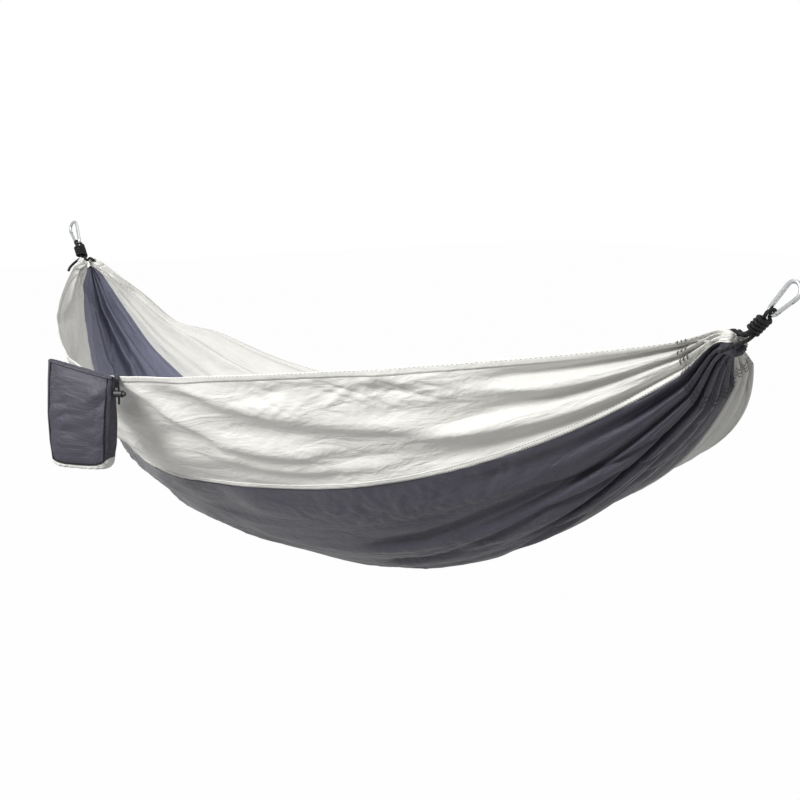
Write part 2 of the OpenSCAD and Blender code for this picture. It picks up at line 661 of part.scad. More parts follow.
near_side_panel();
centre_panel();
far_side_panel();
left_end_sleeve();
right_end_sleeve();
left_rope();
right_rope();
left_hook_body();
right_hook_body();
left_hook_gate();
right_hook_gate();
left_hinge_pin();
right_hinge_pin();
left_gate_spring();
right_gate_spring();
left_push_pin();
right_push_pin();
sack_body();
sack_base();
sack_mouth_hem();
sack_piping();
sack_tab();
sack_drawcord();
lock_barrel();
lock_plunger();
lock_spring();
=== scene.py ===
# %% [markdown]
# A camping hammock: three sewn panels of thin nylon, gathered on a rope at each end, hung from
# two steel snap hooks, with a stuff sack on the near edge. The rigid hardware comes from the packed
# model. The cloth, the ropes and the sack are made here, in the same frame and at the same size.

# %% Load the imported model
import json
import math
import bpy
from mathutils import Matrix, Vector, noise


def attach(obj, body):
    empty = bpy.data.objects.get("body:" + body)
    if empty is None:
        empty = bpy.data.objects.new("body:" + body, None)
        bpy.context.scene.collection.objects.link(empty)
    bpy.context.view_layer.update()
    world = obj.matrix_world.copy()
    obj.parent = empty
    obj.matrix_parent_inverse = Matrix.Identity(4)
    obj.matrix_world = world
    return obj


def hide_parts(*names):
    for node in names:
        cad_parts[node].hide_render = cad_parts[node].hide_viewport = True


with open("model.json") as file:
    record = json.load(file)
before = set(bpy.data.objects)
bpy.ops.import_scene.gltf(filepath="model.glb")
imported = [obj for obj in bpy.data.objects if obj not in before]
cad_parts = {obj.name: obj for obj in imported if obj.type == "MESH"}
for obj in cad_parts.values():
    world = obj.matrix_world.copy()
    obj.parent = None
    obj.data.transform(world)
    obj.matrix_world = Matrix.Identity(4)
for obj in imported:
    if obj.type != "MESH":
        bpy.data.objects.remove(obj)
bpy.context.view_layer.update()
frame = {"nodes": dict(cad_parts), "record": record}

# %% [markdown]
# The photograph looks at the bed from the right end and a little from above. A camera is placed by
# where it stands and how it turns; a long lens keeps the far end nearly as large as the near one.

# %% Camera
bpy.ops.object.select_all(action="DESELECT")
bpy.ops.object.camera_add(location=(4.3251, -2.3401, 0.2535),
                          rotation=(math.radians(81.42), 0, math.radians(51.28)))
camera = bpy.context.object
camera.data.sensor_width = 36
camera.data.lens = 80.75
bpy.context.scene.camera = camera

# %% [markdown]
# The hung cloth has a rule: each long line of the bed (the two edges and the lowest line) sags by a
# power curve, and each cross-section joins the three. t runs from the left gather (-1) to the right
# gather (1), and v from the near edge (-1) over the lowest line (0) to the far edge (1).
# All of this is in millimetres and becomes metres only when a point is placed.

# %% Shape of the hung bed
MM = 0.001
BED_SPAN = 2250
HANG_ANGLE = math.radians(46)
LEAN = math.radians(12)
REACH = 141.625
HANG_SPAN = BED_SPAN + 2 * REACH * math.cos(HANG_ANGLE)
BED_MID = Vector((HANG_SPAN / 2, -REACH * math.sin(HANG_ANGLE) * math.sin(LEAN),
                  -REACH * math.sin(HANG_ANGLE) * math.cos(LEAN)))
# Middle of each long line, in y and z from the line between the gathers.
KEEL_Y, KEEL_Z = -48, -553
NEAR_Y, NEAR_Z = -595, -123
FAR_Y, FAR_Z = 600, -455
BUNCH_R = 20
NEAR_SEAM, FAR_SEAM = -0.6489, 0.5397
SLEEVE_DEPTH = 40
STITCH_T = 1 - SLEEVE_DEPTH / (BED_SPAN / 2)
CHANNEL_T = 1 - 0.5 * SLEEVE_DEPTH / (BED_SPAN / 2)
DRAW_T = 1 - 2 * SLEEVE_DEPTH / (BED_SPAN / 2)


def drawn(T):
    """The rope draws the end together: past DRAW_T every line of the cloth runs in to the gather."""
    s = min(1, max(0, (T - DRAW_T) / (CHANNEL_T - DRAW_T)))
    return T + (1 - T) * s * s * (3 - 2 * s)


def section(t, v):
    """Point of the smooth cross-section, as (y, z) from the line between the gathers."""
    T = min(abs(t), 1)
    D = drawn(T)
    keel = (KEEL_Y * (1 - D ** 2), KEEL_Z * (1 - D ** (3.1 if t < 0 else 2.7)))
    if v < 0:
        edge = (NEAR_Y * (1 - D ** 1.46), NEAR_Z * (1 - D ** 1.31))
        power, turn = 1.8, math.radians(140 * v)
    else:
        edge = (FAR_Y * (1 - D ** 2.8), FAR_Z * (1 - D ** (2.3 if t < 0 else 1.9)))
        power, turn = 1.07, math.radians(125 * v)
    s = abs(v)
    bunch = BUNCH_R * T ** 4
    return (keel[0] + (edge[0] - keel[0]) * s + bunch * math.sin(turn),
            keel[1] + (edge[1] - keel[1]) * s ** power - bunch * math.cos(turn))


def inward(t, v):
    """Direction square to the cross-section, into the bed, and millimetres of cloth per unit of v."""
    low, high = max(-1, v - 0.02), min(1, v + 0.02)
    a, b = section(t, low), section(t, high)
    dy, dz = b[0] - a[0], b[1] - a[1]
    run = math.hypot(dy, dz)
    return (-dz / run, dy / run), run / (high - low)


# The far side hangs slack at the left end: its hem dips once and then runs higher, and its seam sags.
# (place t and v, half widths along and across the bed, height in millimetres)
SLACK = ((-0.875, 1, 0.045, 0.2, -34), (-0.53, 1, 0.14, 0.2, 45),
         (-0.87, FAR_SEAM, 0.06, 0.22, -30), (-0.76, FAR_SEAM, 0.09, 0.22, -45))


def slack(t, v):
    """Height in millimetres that the slack places add at (t, v)."""
    return sum(high * math.exp(-((t - at) / long) ** 2 - ((v - across) / wide) ** 2)
               for at, across, long, wide, high in SLACK)


def bed_point(t, v, lift=0.0):
    """Point of the bed in metres, raised by lift millimetres along the inward direction."""
    y, z = section(t, v)
    n, _ = inward(t, v)
    z += slack(t, v)
    return (BED_MID + Vector((t * BED_SPAN / 2, y + lift * n[0], z + lift * n[1]))) * MM


print("hang span", round(HANG_SPAN, 2), "mid of the bed", [round(c, 2) for c in BED_MID])

# %% [markdown]
# Cloth that is drawn together has to go somewhere: it stands in pleats that are deep at the gathers
# and run out towards the middle. Between them lie a few long slack folds. A sculptor would pull these
# by hand, so each is given here as a line on the bed, a width and a height. Crinkles that stay from
# packing come last, from noise that is turned and stretched, which never repeats.

# %% Pleats, folds and crinkles
# (first and last v, number of pleats across)
PANELS = {"near": (-1, NEAR_SEAM, 3), "centre": (NEAR_SEAM, FAR_SEAM, 6), "far": (FAR_SEAM, 1, 3)}
# A fold fades in and out over this share of the half bed.
FADE = 0.09
# (line of t and v, half width in v, height in millimetres: negative stands out, positive is a valley)
FOLDS = [
    (((0.02, -1.0), (0.08, -0.97), (0.14, -0.89), (0.19, -0.83), (0.28, -0.79), (0.42, -0.755)), 0.036, -14),
    (((0.1, -1.03), (0.19, -0.99), (0.24, -0.945), (0.35, -0.895), (0.5, -0.845), (0.58, -0.805),
      (0.64, -0.78), (0.76, -0.755), (0.92, -0.73)), 0.036, -17),
    (((0.44, -1.0), (0.54, -0.985), (0.58, -0.955), (0.69, -0.925), (0.76, -0.88), (0.86, -0.85),
      (0.96, -0.82)), 0.03, -13),
    (((0.12, -0.79), (0.25, -0.735), (0.35, -0.715), (0.55, -0.7)), 0.026, -8),
    (((0.08, -0.58), (0.26, -0.55), (0.52, -0.55), (0.64, -0.51), (0.75, -0.54), (0.9, -0.54)), 0.06, -12),
    (((0.3, -0.36), (0.45, -0.37), (0.58, -0.41), (0.69, -0.42), (0.77, -0.35), (0.86, -0.25),
      (0.93, -0.05)), 0.024, 13),
    (((0.26, -0.18), (0.45, -0.22), (0.59, -0.27), (0.68, -0.29), (0.8, -0.2), (0.88, 0.04),
      (0.95, 0.27)), 0.022, 12),
    (((0.5, 0.0), (0.65, -0.08), (0.78, 0.04), (0.9, 0.3)), 0.024, 10),
    (((0.02, -0.4), (0.2, -0.36), (0.4, -0.3), (0.55, -0.34)), 0.05, -8),
    (((0.1, 0.3), (0.4, 0.25), (0.7, 0.3), (0.9, 0.42)), 0.04, 12),
    (((0.15, 0.8), (0.45, 0.74), (0.8, 0.76)), 0.05, 14),
]


def ramp(low, high, x):
    """Smooth step from 0 at low to 1 at high."""
    x = min(1, max(0, (x - low) / (high - low)))
    return x * x * (3 - 2 * x)


def fold_height(T, v):
    """Sum of the long folds at T from the middle, for either half of the bed."""
    height = 0
    for line, width, rise in FOLDS:
        if line[0][0] < T < line[-1][0]:
            for (t0, v0), (t1, v1) in zip(line, line[1:]):
                if T <= t1:
                    off = (v - v0 - (v1 - v0) * (T - t0) / (t1 - t0)) / width
                    break
            fade = ramp(0, FADE, T - line[0][0]) * ramp(0, FADE, line[-1][0] - T)
            height += rise * fade * math.exp(-off * off)
    return height


def pleat_depth(t, v):
    """Each pleat has its own depth and its own place where it starts."""
    T = abs(t)
    start = 0.36 + 0.32 * noise.noise((5 * v, 2 * t, 6.2))
    share = 0.85 + 0.6 * noise.noise((9 * v, 1.5 * t, 1.1))
    in_centre = ramp(NEAR_SEAM - 0.1, NEAR_SEAM + 0.15, v) * ramp(FAR_SEAM + 0.1, FAR_SEAM - 0.15, v)
    deep = 12 + 6 * in_centre
    return 0.8 + deep * share * ramp(start, 1.0, T) ** 1.2 * (1 - 0.5 * T ** 16)


def crease(x, s, turn, long, wide, seed):
    """Narrow ridges along the lines where a turned, stretched noise crosses zero."""
    c, k = math.cos(turn), math.sin(turn)
    n = noise.noise(((x * c + s * k) / long, (s * c - x * k) / wide, seed))
    return max(0, 1 - 4.5 * abs(n)) ** 1.4


def crinkles(T, v, x, s):
    """Short sharp creases: under the near hem, below the near seam, and a few everywhere."""
    q = (v + 1) / (NEAR_SEAM + 1)
    at_hem = ramp(0.24, 0.36, T) * ramp(0.7, 0.58, T) * ramp(0.4, 0.2, abs(q)) * ramp(-0.02, 0.06, q)
    at_seam = ramp(0.22, 0.4, T) * ramp(0.78, 0.62, T) * ramp(1.0, 1.1, q) * ramp(1.6, 1.25, q)
    patch = ramp(-0.2, 0.4, noise.noise((x / 260, s / 130, 9.4)))
    sharp = 3.4 * at_hem * (crease(x, s, 0.5, 130, 24, 2.2) - crease(x, s, -0.5, 110, 24, 7.7))
    sharp += 3.2 * at_seam * (crease(x, s, 1.2, 110, 30, 5.1) - crease(x, s, 1.9, 90, 28, 8.3))
    return sharp + 1.3 * patch * (crease(x, s, 0.35, 110, 30, 3.9) - crease(x, s, -0.5, 90, 26, 6.4))


# Millimetres of cloth from the lowest line to an edge, roughly: it sets the scale of the noise.
HALF_GIRTH = 760


def cloth_lift(t, v, panel):
    """Height of the cloth over its smooth section, in millimetres, positive into the bed."""
    low, high, count = PANELS[panel]
    q = (v - low) / (high - low)
    T = abs(t)
    x, s = t * BED_SPAN / 2, v * HALF_GIRTH
    wander = 0.09 * math.sin(math.pi * q) * noise.noise((x / 420, s / 90, 3.3))
    swing = math.cos(2 * math.pi * count * (q + wander))
    pleats = -pleat_depth(t, v) * (swing - 0.3 * (2 * swing * swing - 1) + 0.3)
    loose = 7 * noise.noise((x / 520, s / 60, 1.7)) + 3 * noise.noise((x / 210, s / 30, 4.1))
    at_edge = 0.2 + 0.8 * ramp(1.0, 0.95, abs(v))
    return pleats + (fold_height(T, v) + loose + crinkles(T, v, x, s)) * at_edge * (1 - T ** 7)


print("pleat depth, mid to gather:", [round(pleat_depth(t, 0), 1) for t in (0, 0.5, 0.8, 0.9, STITCH_T)])

# %% [markdown]
# Every sheet starts as a flat grid, the way cloth starts as a flat cut. Each corner of the grid then
# moves to its place on the hung shape, and the grid's UV map, set in metres, keeps the flat cut for
# the weave. A Solidify modifier gives the cloth its thickness.

# %% Sheets from grids


def grid_piece(name, along, across, place, size):
    """A grid of along by across faces, with place(a, b) for a and b from 0 to 1, and UVs in metres."""
    bpy.ops.object.select_all(action="DESELECT")
    bpy.ops.mesh.primitive_grid_add(x_subdivisions=along, y_subdivisions=across, size=1)
    piece = bpy.context.object
    piece.name = name
    piece.data.name = name
    for corner in piece.data.uv_layers.active.data:
        corner.uv = (corner.uv[0] * size[0], corner.uv[1] * size[1])
    for point in piece.data.vertices:
        point.co = place(point.co.x + 0.5, point.co.y + 0.5)
    bpy.ops.object.shade_smooth()
    return piece


def pick(piece):
    """Makes the piece the only selected one, and the active one."""
    bpy.ops.object.select_all(action="DESELECT")
    piece.select_set(True)
    bpy.context.view_layer.objects.active = piece


def thicken(piece, thickness):
    """Cloth thickness, half to each side, in millimetres."""
    pick(piece)
    solid = piece.modifiers.new("thickness", "SOLIDIFY")
    solid.thickness = thickness * MM
    solid.offset = 0
    bpy.ops.object.modifier_apply(modifier=solid.name)
    bpy.ops.object.shade_smooth()


def along_bed(a):
    """Even steps become finer towards the gathers, where the pleats are."""
    return STITCH_T * math.sin(math.pi * (a - 0.5)) * 0.55 + STITCH_T * (2 * a - 1) * 0.45


def panel_place(panel):
    """The place function of one panel's grid."""
    low, high, _ = PANELS[panel]

    def place(a, b):
        t, v = along_bed(a), low + (high - low) * b
        return bed_point(t, v, cloth_lift(t, v, panel))
    return place


# (faces along and across, flat width in metres)
CUTS = {"near": (430, 84, 0.302), "centre": (350, 126, 0.776), "far": (350, 80, 0.302)}
CUT_LENGTH = 2.5
cloth = {}
for panel, (along, across, width) in CUTS.items():
    cloth[panel] = grid_piece(panel + "_cloth", along, across, panel_place(panel), (CUT_LENGTH, width))
    area = sum(face.area for face in cloth[panel].data.polygons)
    print(panel, "cloth", len(cloth[panel].data.polygons), "faces", round(area, 3), "square metres")

# %% Give the sheets their thickness
# Solidify lists the first layer's faces first; on the centre panel they are the inside of the bed.
inside_count = len(cloth["centre"].data.polygons)
for piece in cloth.values():
    thicken(piece, 0.6)

# %% [markdown]
# The end of the cloth is turned back on itself and sewn, which makes a sleeve for the rope. Drawn up
# on the rope it puckers. In section it is a drop: its root at the stitches, a round channel, and the
# fold at its tip.

# %% End sleeves
ROOT_X, TIP_X, CHANNEL_R = -20, 16.5, 7.4
RUFFLES = 9.5
SLEEVE_CUT = (1.38, 0.09)


def panel_at(v):
    """Name of the panel at v."""
    return "near" if v < NEAR_SEAM else "far" if v > FAR_SEAM else "centre"


def sleeve_point(side, v, u):
    """u goes round the drop, from the root on the inner side over the tip to the outer root."""
    x = ROOT_X + (TIP_X - ROOT_X) * math.sin(math.pi * u)
    at_root = ramp(-3, ROOT_X, x)
    ruffle = math.sin(2 * math.pi * (RUFFLES * v + 0.9 * noise.noise((5 * v, 0.3, side))))
    open_by = CHANNEL_R * math.sin(2 * math.pi * u) * (1 + 0.2 * (1 - at_root) * ruffle)
    edge = ramp(2, 16, x)
    lift = at_root * cloth_lift(side * STITCH_T, v, panel_at(v)) + open_by + 1.8 * edge * ruffle
    x += 1.5 * edge * noise.noise((8 * v, 4.4, side))
    return bed_point(side * (CHANNEL_T + x / (BED_SPAN / 2)), v, lift)


sleeves = {}
for name, side in (("left", -1), ("right", 1)):
    sleeves[name] = grid_piece(name + "_sleeve_cloth", 420, 26,
                               lambda a, b, side=side: sleeve_point(side, 2 * a - 1, b), SLEEVE_CUT)
    thicken(sleeves[name], 0.5)
    print(name, "sleeve", len(sleeves[name].data.polygons), "faces")

# %% [markdown]
# Each rope is one length: its tail, the turns of a barrel knot, the eye round the hook, a leg to the
# near mouth of the sleeve, the run inside it, and a leg back into the knot. A tube is swept along
# the route, with its UV map in metres along and round it for the braid.

# %% Tubes along a route


def smooth_route(points, steps):
    """Curve through the points, with steps between each two."""
    route = []
    for i in range(len(points) - 1):
        a, b = points[max(i - 1, 0)], points[i]
        c, d = points[i + 1], points[min(i + 2, len(points) - 1)]
        for k in range(steps):
            u = k / steps
            bend = (2 * a - 5 * b + 4 * c - d) + u * (3 * b - a - 3 * c + d)
            route.append(b + (u / 2) * ((c - a) + u * bend))
    return route + [points[-1]]


def swept_tube(name, route, radius, sides=14):
    """Tube with closed, rounded ends; route in metres, radius in millimetres."""
    r = radius * MM
    runs = [0.0]
    for a, b in zip(route, route[1:]):
        runs.append(runs[-1] + (b - a).length)
    corners, normal = [], Vector((0.3, 0.2, 0.9))
    last = len(route) - 1
    ways = [(route[min(i + 1, last)] - route[max(i - 1, 0)]).normalized() for i in range(last + 1)]
    # (point of the route, push along it, share of the radius): two smaller rings round off each end
    rings = [(0, -0.9, 0.35), (0, -0.55, 0.8)] + [(i, 0, 1) for i in range(last + 1)]
    rings += [(last, 0.55, 0.8), (last, 0.9, 0.35)]
    for i, push, share in rings:
        normal = (normal - normal.dot(ways[i]) * ways[i]).normalized()
        side = ways[i].cross(normal)
        for k in range(sides):
            angle = 2 * math.pi * k / sides
            corners.append(route[i] + ways[i] * push * r
                           + share * r * (math.cos(angle) * normal + math.sin(angle) * side))
    count = len(rings)
    faces = []
    for start in range(0, (count - 1) * sides, sides):
        for k in range(sides):
            ahead = (k + 1) % sides
            faces.append((start + k, start + ahead, start + sides + ahead, start + sides + k))
    faces += [tuple(range(sides))[::-1], tuple((count - 1) * sides + k for k in range(sides))]
    mesh = bpy.data.meshes.new(name)
    mesh.from_pydata(corners, [], faces)
    uv = mesh.uv_layers.new(name="UVMap")
    for face in mesh.polygons[:-2]:
        j, k = divmod(face.index, sides)
        for loop, (dj, dk) in zip(face.loop_indices, ((0, 0), (0, 1), (1, 1), (1, 0))):
            uv.data[loop].uv = ((k + dk) / sides, runs[rings[j + dj][0]])
    piece = bpy.data.objects.new(name, mesh)
    bpy.context.scene.collection.objects.link(piece)
    for face in mesh.polygons:
        face.use_smooth = True
    print(name, "length", round(runs[-1], 4), "m")
    return piece


# %% Ropes
ROPE_D, ROPE_GAP = 7.0, 0.7
EYE_Z, EYE_R = -68.0, 8.9
KNOT_TOP = EYE_Z - EYE_R - 4
PITCH = ROPE_D + ROPE_GAP
TURNS, TURN_STEPS = 4.25, 12
KNOT_LOW = KNOT_TOP - TURNS * PITCH
STRAND = ROPE_D / 2 + ROPE_GAP
WRAP_R = PITCH / math.cos(math.radians(15)) + 0.2


def hung(side, x, y, z):
    """Point of an end's own frame in metres: z runs up the rope, x lies in the hook's plane."""
    b = math.pi / 2 - HANG_ANGLE
    along, up = x * math.cos(b) + z * math.sin(b), z * math.cos(b) - x * math.sin(b)
    return Vector((-along if side < 0 else HANG_SPAN + along, y * math.cos(LEAN) + up * math.sin(LEAN),
                   up * math.cos(LEAN) - y * math.sin(LEAN))) * MM


def turn_point(side, turn):
    """Point of the barrel knot, turn counted from its top; the two legs inside widen it in y."""
    a = math.pi / 2 - 2 * math.pi * turn
    y = WRAP_R * math.sin(a) + STRAND * max(-1, min(1, 1.7 * math.sin(a)))
    return hung(side, WRAP_R * math.cos(a), y, KNOT_TOP - PITCH * turn)


def rope_route(side):
    """The whole rope from its tail to its end in the knot; the tail and legs are given point by point."""
    tail = [hung(side, x, y, KNOT_LOW + z)
            for x, y, z in ((13, -46, -48), (15, -37, -34), (16, -25, -20), (14.5, -12, -8))]
    turns = [turn_point(side, i / TURN_STEPS) for i in range(round(TURNS * TURN_STEPS), -1, -1)]
    rising = [hung(side, -3.6, WRAP_R + 3, KNOT_TOP + 2.4), hung(side, -3.4, WRAP_R + 2, KNOT_TOP + 7)]
    eye = [hung(side, 0, EYE_R * math.cos(math.radians(a)), EYE_Z + EYE_R * math.sin(math.radians(a)))
           for a in (-8, 25, 58, 90, 122, 155, 188)]
    mouth = [bed_point(side * CHANNEL_T, v) for v in (-1, 1)]
    lead = [(bed_point(side * CHANNEL_T, v) - bed_point(side * CHANNEL_T, 0.94 * v)).normalized() * MM
            for v in (-1, 1)]
    near_leg = [hung(side, 0, -STRAND, KNOT_TOP - 2), hung(side, 0, -STRAND, KNOT_LOW + 8),
                hung(side, -0.5, -STRAND, KNOT_LOW - 1), hung(side, -3, -4.6, KNOT_LOW - 10),
                hung(side, -9, -5.5, KNOT_LOW - 20), mouth[0] + 9 * lead[0] + Vector((side * 8, 2, -2)) * MM,
                mouth[0] + 4 * lead[0] + Vector((side * 2, 0, 0)) * MM]
    inside = [bed_point(side * CHANNEL_T, -1 + i / 7) for i in range(15)]
    far_leg = [mouth[1] + 4 * lead[1] + Vector((side * 2, 0, 0)) * MM,
               mouth[1] + 9 * lead[1] + Vector((side * 8, -1, -2)) * MM,
               hung(side, -9, 6, KNOT_LOW - 20), hung(side, -3, 5, KNOT_LOW - 10),
               hung(side, -0.3, STRAND, KNOT_LOW), hung(side, 0, STRAND, KNOT_LOW + 8),
               hung(side, 0, STRAND, KNOT_TOP - ROPE_D)]
    return smooth_route(tail + turns + rising + eye + near_leg + inside + far_leg, 3)


ropes = {name: swept_tube(name + "_rope_braid", rope_route(side), ROPE_D / 2)
         for name, side in (("left", -1), ("right", 1))}

# %% [markdown]
# Sewn strips finish the cloth: a folded hem along each long edge and a flat-felled seam between the
# panels. A strip keeps its width in millimetres, so its share of the section grows at the gathers.

# %% Hems and seam strips


def strip_piece(name, v0, panel, profile):
    """profile lists (millimetres across from v0, lift above the cloth's middle) for each column."""
    def place(a, b):
        t = along_bed(a)
        across, raised = profile[round(b * (len(profile) - 1))]
        v = max(-1, min(1, v0 + across / inward(t, v0)[1]))
        return bed_point(t, v, cloth_lift(t, v, panel) + raised)
    return grid_piece(name, 330, len(profile) - 1, place, (CUT_LENGTH, 0.02))


hem_profile = [(13, 0.7), (9, 1.0), (4, 1.1), (0.6, 1.0), (0, 0),
               (0.6, -1.0), (4, -1.1), (9, -1.0), (13, -0.7)]
strips = {
    "near_hem": strip_piece("near_hem", -1, "near", hem_profile),
    "far_hem": strip_piece("far_hem", 1, "far", [(-across, raised) for across, raised in hem_profile]),
    "near_seam": strip_piece("near_seam_tape", NEAR_SEAM, "near",
                             [(-11, -0.4), (-10, -1.2), (-5, -1.4), (-1, -1.2), (0, -0.4)]),
    "far_seam": strip_piece("far_seam_tape", FAR_SEAM, "far",
                            [(0, -0.4), (1, -1.2), (5, -1.4), (10, -1.2), (11, -0.4)]),
}
for piece in strips.values():
    thicken(piece, 0.5)

# %% Stitches


def stitches(name, spots, length, width):
    """One short raised thread for each (middle, way, out): a low bead, drawn out along its way."""
    corners, faces = [], []
    for middle, way, out in spots:
        side = way.cross(out).normalized()
        base = len(corners)
        for end, size in ((-0.5, 0.35), (-0.25, 1), (0.25, 1), (0.5, 0.35)):
            for across, up in ((-1, 0), (-0.5, 0.8), (0.5, 0.8), (1, 0)):
                corners.append(middle + way * (end * length * MM)
                               + (side * across + out * up) * (0.5 * width * size * MM))
        for ring in range(3):
            for k in range(3):
                a = base + ring * 4 + k
                faces.append((a, a + 4, a + 5, a + 1))
            faces.append((base + ring * 4 + 3, base + ring * 4 + 7, base + ring * 4 + 4, base + ring * 4))
        faces += [(base, base + 1, base + 2, base + 3), (base + 15, base + 14, base + 13, base + 12)]
    mesh = bpy.data.meshes.new(name)
    mesh.from_pydata(corners, [], faces)
    piece = bpy.data.objects.new(name, mesh)
    bpy.context.scene.collection.objects.link(piece)
    print(name, len(spots), "stitches")
    return piece


STEP_T, STEP_V = 0.002, 0.001


def face_out(t, v, raised):
    """Direction out of the cloth, on the side that raised points to."""
    n, _ = inward(t, v)
    return Vector((0, n[0], n[1])) * (1 if raised > 0 else -1)


def row_along(v0, panel, across, raised, pitch):
    """Spots of a row of stitches that runs along the bed."""
    spots, t = [], -STITCH_T + 0.01
    while t < STITCH_T - 0.01:
        v = v0 + across / inward(t, v0)[1]
        here = bed_point(t, v, cloth_lift(t, v, panel) + raised)
        ahead = bed_point(t + STEP_T, v, cloth_lift(t + STEP_T, v, panel) + raised)
        spots.append((here, (ahead - here).normalized(), face_out(t, v, raised)))
        t += pitch * MM / (ahead - here).length * STEP_T
    return spots


def row_across(side, back, raised, pitch):
    """Spots of a row of stitches across the gathered end, back millimetres in from the sleeve."""
    t = side * (STITCH_T - back / (BED_SPAN / 2))
    spots, v = [], -0.995
    while v < 0.99:
        here = bed_point(t, v, cloth_lift(t, v, panel_at(v)) + raised)
        ahead = bed_point(t, v + STEP_V, cloth_lift(t, v + STEP_V, panel_at(v + STEP_V)) + raised)
        spots.append((here, (ahead - here).normalized(), face_out(t, v, raised)))
        v += STEP_V * pitch * MM / (ahead - here).length
    return spots


# Rows in millimetres: from the hem's edge or the seam, above the cloth, and from stitch to stitch.
HEM_ROW, HEM_UP, PITCH_FINE = 10.5, 1.25, 6
light_rows = []
for raised in (-HEM_UP, HEM_UP):
    light_rows += row_along(-1, "near", HEM_ROW, raised, PITCH_FINE)
for raised in (HEM_UP, -HEM_UP):
    light_rows += row_along(1, "far", -HEM_ROW, raised, PITCH_FINE)
light_thread = stitches("light_stitches", light_rows, 4.2, 0.8)

# The dark rows just in from each hem's edge are thread, and also painted shadow: they stand for the thin
# shadow line along the edge. The seam rows are thread alone.
EDGE_SHADOW_THREAD_ROW, EDGE_UP, PITCH_WIDE, SEAM_UP = 1.6, 1.2, 9, 1.6
black_rows_and_edge_shadow = row_along(-1, "near", EDGE_SHADOW_THREAD_ROW, -EDGE_UP, PITCH_WIDE)
black_rows_and_edge_shadow += row_along(1, "far", -EDGE_SHADOW_THREAD_ROW, EDGE_UP, PITCH_WIDE)
for across in (2, 9):
    black_rows_and_edge_shadow += row_along(NEAR_SEAM, "near", -across, -SEAM_UP, PITCH_FINE)
    black_rows_and_edge_shadow += row_along(FAR_SEAM, "far", across, -SEAM_UP, PITCH_FINE)
black_stitching_and_edge_shadow = stitches("black_stitches_and_edge_shadow", black_rows_and_edge_shadow, 3.2, 0.9)

bar_rows = [spot for side in (-1, 1) for back in (26, 30, 34)
            for spot in row_across(side, back, -0.8, 4.0)]
bar_thread = stitches("gather_stitches", bar_rows, 4.2, 2.2)

# %% [markdown]
# The stuff sack hangs open and slack: flat at its mouth, fuller below, with soft dents. It is lofted
# from rounded-box outlines, wrapped from a grid whose two sides are then merged.

# %% Stuff sack
# The mouth's middle, from the middle of the near hem: 16 along it, 44.49 out and 12 up.
SACK_AT = Vector((BED_MID.x + 16, BED_MID.y + NEAR_Y - 44.49, BED_MID.z + NEAR_Z + 12))
SACK_TURN = math.radians(30)
SACK_W, SACK_H, BASE_H, MOUTH_FALL = 142, 172, 18, 30
# The dark cloth reaches this far down over the light base.
OVERHANG = 9


def in_sack(x, y, z):
    """Point of the sack's own frame in metres: x along its width, y to its back."""
    c, s = math.cos(SACK_TURN), math.sin(SACK_TURN)
    return (SACK_AT + Vector((x * c - y * s, x * s + y * c, z))) * MM


# (share of the way down, width, depth)
LEVELS = [(0, 142, 18), (0.2, 142, 33), (0.5, 140, 48), (0.8, 135, 48), (1, 128, 44)]


def level_at(h):
    """Width and depth of the sack at share h of the way down."""
    for (h0, w0, d0), (h1, w1, d1) in zip(LEVELS, LEVELS[1:]):
        if h <= h1:
            f = ramp(0, 1, (h - h0) / (h1 - h0)) * 0.5 + 0.5 * (h - h0) / (h1 - h0)
            return w0 + (w1 - w0) * f, d0 + (d1 - d0) * f
    return LEVELS[-1][1:]


def box_outline(a, w, d, square=5):
    """Point at share a of the way round a rounded box; a higher square gives sharper corners."""
    angle = 2 * math.pi * a
    c, s, p = math.cos(angle), math.sin(angle), 2 / square
    return w / 2 * math.copysign(abs(c) ** p, c), d / 2 * math.copysign(abs(s) ** p, s)


def sack_dent(x, y, z):
    """Slack cloth: broad hollows, two slanting dents across the front, and a little crumple."""
    hollow = 6 * noise.noise((x / 62 + 3.4, y / 90 + 0.7, z / 80 + 5.2))
    hollow += 2 * noise.noise((x / 30 + 1.6, y / 60 + 4.3, z / 42 + 2.8))
    dents = 4 * math.exp(-((z + 108 + 0.35 * x) / 20) ** 2) - 5 * math.exp(-((z + 62 - 0.4 * x) / 17) ** 2)
    return hollow + dents + 0.8 * crease(x, z, 0.5, 60, 20, 3.9)


def corner_rise(x, w):
    """The filled bottom is round: its seam climbs at the two corners."""
    return 14 * abs(2 * x / w) ** 4


def sack_place(a, b, out=0.0):
    """Point of the sack's side, a round it and b down it, moved out by out millimetres."""
    w, d = level_at(b)
    x, y = box_outline(a, w, d)
    z = -MOUTH_FALL * x / SACK_W * (1 - b) - (SACK_H + OVERHANG) * b
    z += corner_rise(x, w) * ramp(0.6, 1, b)
    fade = ramp(0, 0.1, b) * ramp(1.0, 0.9, b)
    flat = 1 - abs(2 * x / w) ** 6
    y += math.copysign(fade * flat * (sack_dent(x, y, z) - 1.5) + out, y)
    return in_sack(x + math.copysign(out, x), y, z)


def close_round(piece):
    """Merges the two sides where a wrapped grid meets itself."""
    pick(piece)
    bpy.ops.object.mode_set(mode="EDIT")
    bpy.ops.mesh.select_all(action="SELECT")
    bpy.ops.mesh.remove_doubles(threshold=0.00005)
    bpy.ops.mesh.normals_make_consistent(inside=False)
    bpy.ops.object.mode_set(mode="OBJECT")


sack = grid_piece("sack_cloth", 144, 80, sack_place, (0.36, 0.19))
close_round(sack)
thicken(sack, 0.8)


BASE_SIDE, TAPER_W, TAPER_D = 0.75, 36, 20


